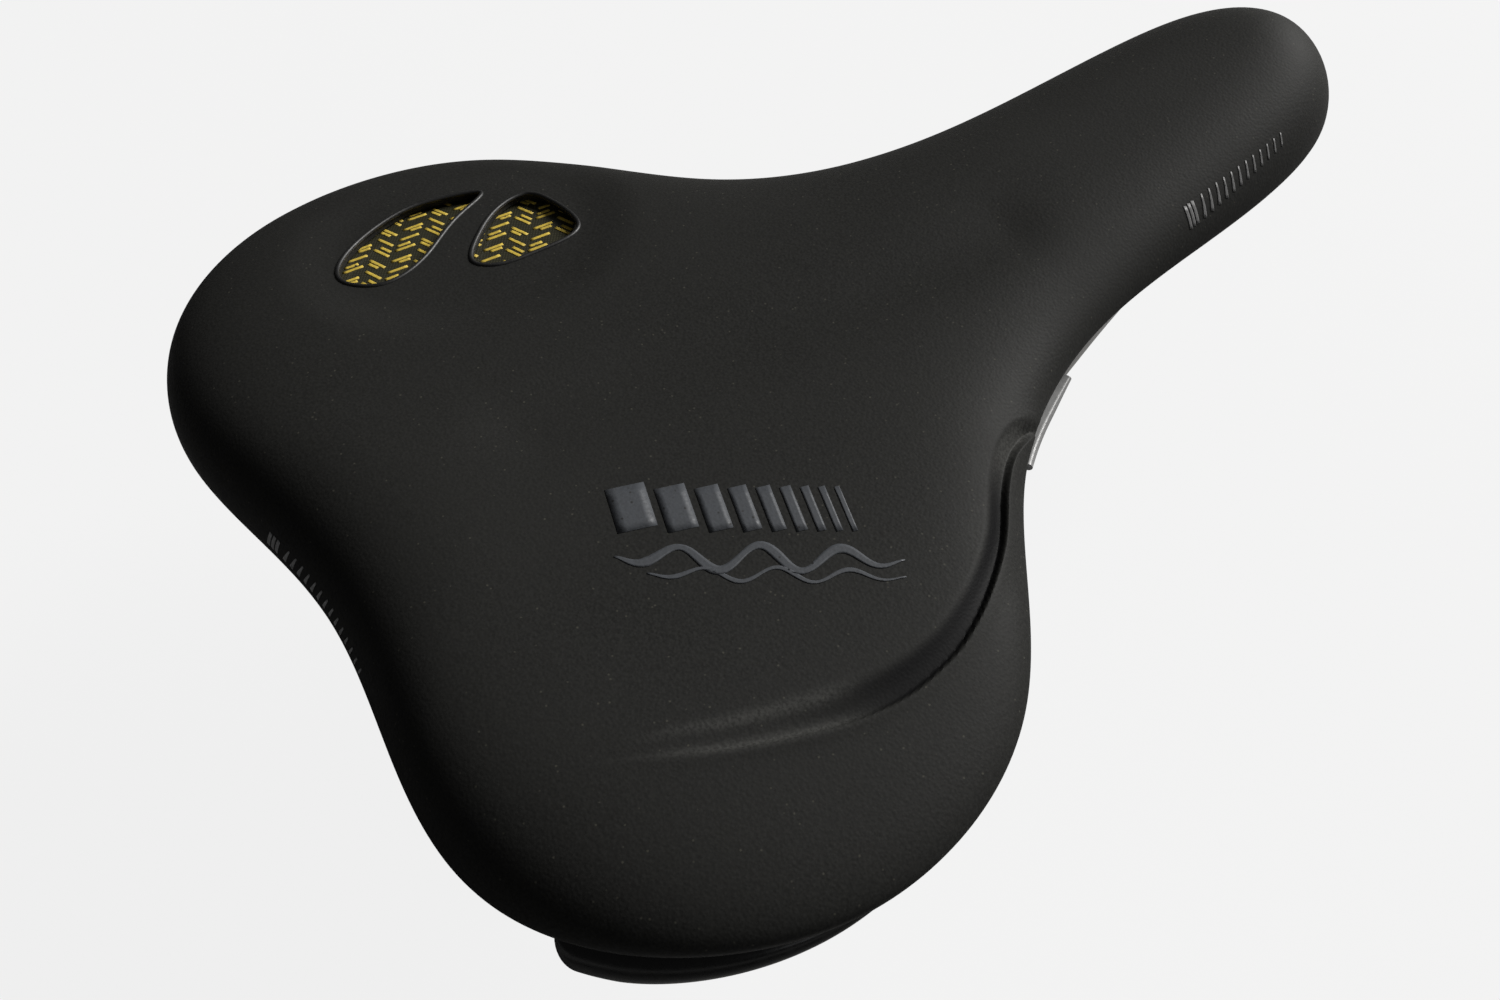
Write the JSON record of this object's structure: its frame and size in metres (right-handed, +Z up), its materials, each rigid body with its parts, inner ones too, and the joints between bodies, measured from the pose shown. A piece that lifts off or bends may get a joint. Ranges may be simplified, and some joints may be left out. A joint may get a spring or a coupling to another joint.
{
  "type": "bicycle saddle",
  "caption": "Wide padded bicycle saddle with gel pads, a nose hinge on steel rails, rubber rear springs and an adjustable seatpost clamp.",
  "frame": {"origin": "centre of the clamp's socket for the seatpost's top", "axes": "+Y towards the saddle's nose, +X towards the rider's right, +Z up along the seatpost"},
  "size_m": [0.2094, 0.2664, 0.0928],
  "materials": {
    "cover_skin": "matte black polyurethane cover with a fine grain",
    "foam": "open-cell polyurethane foam",
    "gel": "soft amber gel",
    "badge": "dark olive film with a yellow pattern",
    "shell_plastic": "moulded black polypropylene",
    "bumper_plastic": "satin black scuff guard",
    "clip_plastic": "satin grey plastic",
    "spring_rubber": "black elastomer",
    "rail_steel": "bright plated wire",
    "bridge_steel": "bright plated plate",
    "clamp_steel": "dull plated pressed steel",
    "zinc_steel": "zinc-plated fastener"
  },
  "bodies": {
    "post_band": {"clamp_band": "clamp_steel"},
    "clamp_head": {"inner_cheek_left": "clamp_steel", "inner_cheek_right": "clamp_steel", "outer_cheek_left": "clamp_steel", "outer_cheek_right": "clamp_steel", "clamp_stud": "zinc_steel", "clamp_washer_left": "zinc_steel", "clamp_washer_right": "zinc_steel", "clamp_nut_left": "zinc_steel", "clamp_nut_right": "zinc_steel"},
    "rails": {"rail_frame": "rail_steel", "rear_bridge": "bridge_steel", "rail_clip_left": "shell_plastic", "rail_clip_right": "shell_plastic", "clip_screw_left": "zinc_steel", "clip_screw_right": "zinc_steel", "elastomer_left": "spring_rubber", "elastomer_right": "spring_rubber"},
    "seat_top": {"cover": "cover_skin", "foam_pad": "foam", "gel_pad_left": "gel", "gel_pad_right": "gel", "window_badge": "badge", "base_shell": "shell_plastic", "bumper_left": "bumper_plastic", "bumper_right": "bumper_plastic", "edge_clip_left": "clip_plastic", "edge_clip_right": "clip_plastic", "nose_cap": "shell_plastic", "nose_screw_front": "zinc_steel", "nose_screw_rear": "zinc_steel", "spring_bolt_left": "zinc_steel", "spring_bolt_right": "zinc_steel", "spring_washer_left": "zinc_steel", "spring_washer_right": "zinc_steel", "spring_nut_left": "zinc_steel", "spring_nut_right": "zinc_steel"}
  },
  "joints": [
    {"name": "tilt", "type": "hinge", "parent": "post_band", "child": "clamp_head", "pos_m": [0, -0.027, 0], "axis": [1, 0, 0], "range_deg": [-15, 15]},
    {"name": "fore_aft", "type": "slide", "parent": "clamp_head", "child": "rails", "axis": [0, 1, 0], "range_m": [-0.014, 0.014]},
    {"name": "seat_flex", "type": "hinge", "parent": "rails", "child": "seat_top", "pos_m": [0, 0.101, 0.032], "axis": [1, 0, 0], "range_deg": [0, 2.5], "stiffness_Nm_per_rad": 2000, "deforming": ["elastomer_left", "elastomer_right"]}
  ]
}
